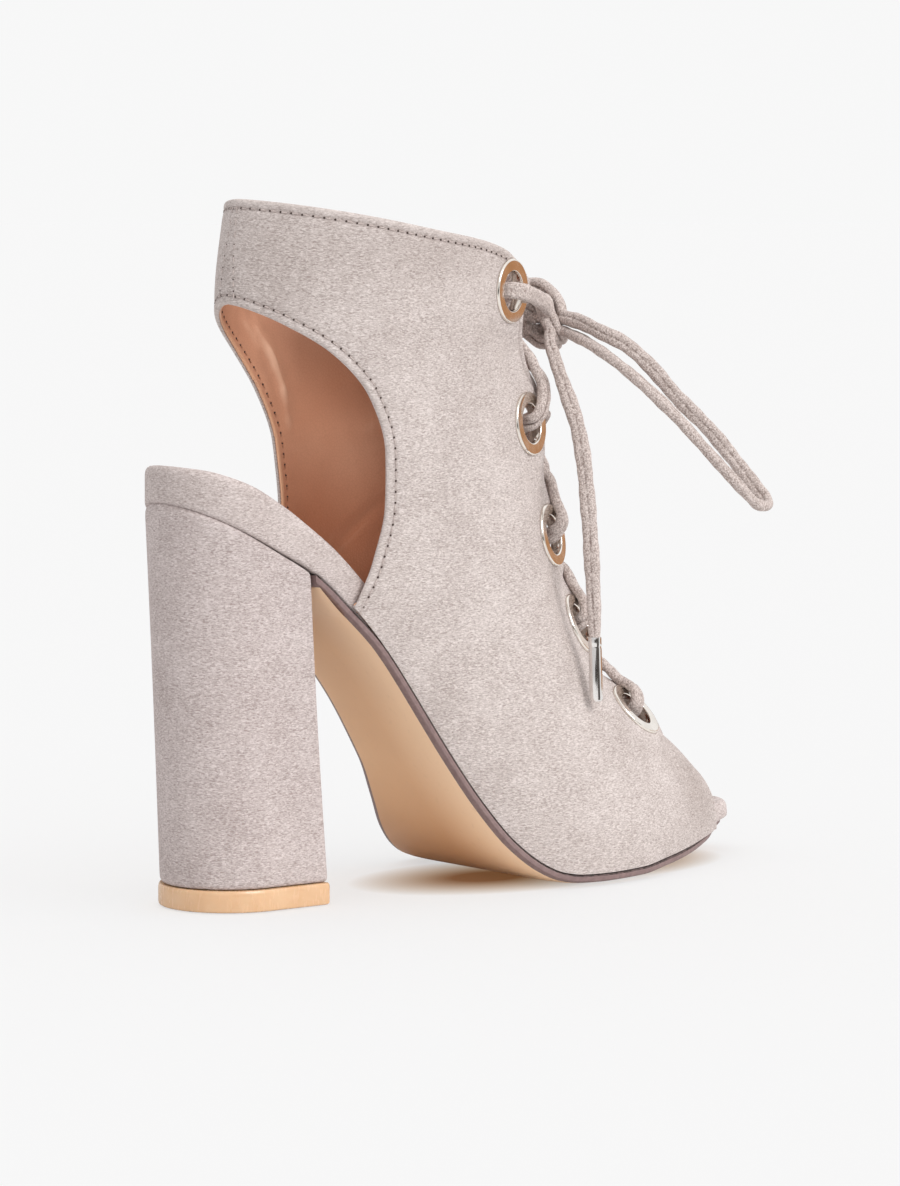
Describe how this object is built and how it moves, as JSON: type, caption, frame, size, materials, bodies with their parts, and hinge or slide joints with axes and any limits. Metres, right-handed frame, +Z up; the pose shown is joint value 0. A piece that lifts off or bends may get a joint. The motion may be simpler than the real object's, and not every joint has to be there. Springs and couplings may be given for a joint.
{
  "type": "lace-up peep-toe block-heel bootie",
  "caption": "Right shoe in grey suede: laced open-front upper with a peep toe, open heel sides and a heel strap, on a tall block heel with a thin sole.",
  "frame": {"origin": "middle of the heel's top piece on the floor", "axes": "+X from heel to toe, +Y to the inner side of the right foot, +Z up"},
  "size_m": [0.2006, 0.0957, 0.1855],
  "materials": {
    "suede": "napped suede, matte",
    "insole suede": "napped suede, matte",
    "heel suede": "napped suede, matte",
    "sole leather": "smooth tan sheet, satin",
    "top piece plastic": "glossy nude plastic",
    "eyelet metal": "polished",
    "lace suede": "folded suede cord, matte",
    "aglet metal": "polished"
  },
  "bodies": {
    "root": {"outsole": "sole leather", "insole": "insole suede", "heel": "heel suede", "heel_top_piece": "top piece plastic", "upper": "suede", "eyelet_outer_1": "eyelet metal", "eyelet_outer_2": "eyelet metal", "eyelet_outer_3": "eyelet metal", "eyelet_outer_4": "eyelet metal", "eyelet_outer_5": "eyelet metal", "eyelet_inner_1": "eyelet metal", "eyelet_inner_2": "eyelet metal", "eyelet_inner_3": "eyelet metal", "eyelet_inner_4": "eyelet metal", "eyelet_inner_5": "eyelet metal", "lace_crossing_1": "lace suede", "lace_crossing_2": "lace suede", "lace_crossing_3": "lace suede", "lace_crossing_4": "lace suede", "lace_bar": "lace suede", "lace_top_outer": "lace suede", "lace_top_inner": "lace suede", "lace_knot": "lace suede", "lace_loop_outer": "lace suede", "lace_loop_inner": "lace suede", "lace_end_outer": "lace suede", "lace_end_inner": "lace suede", "aglet_outer": "aglet metal", "aglet_inner": "aglet metal"}
  },
  "joints": []
}
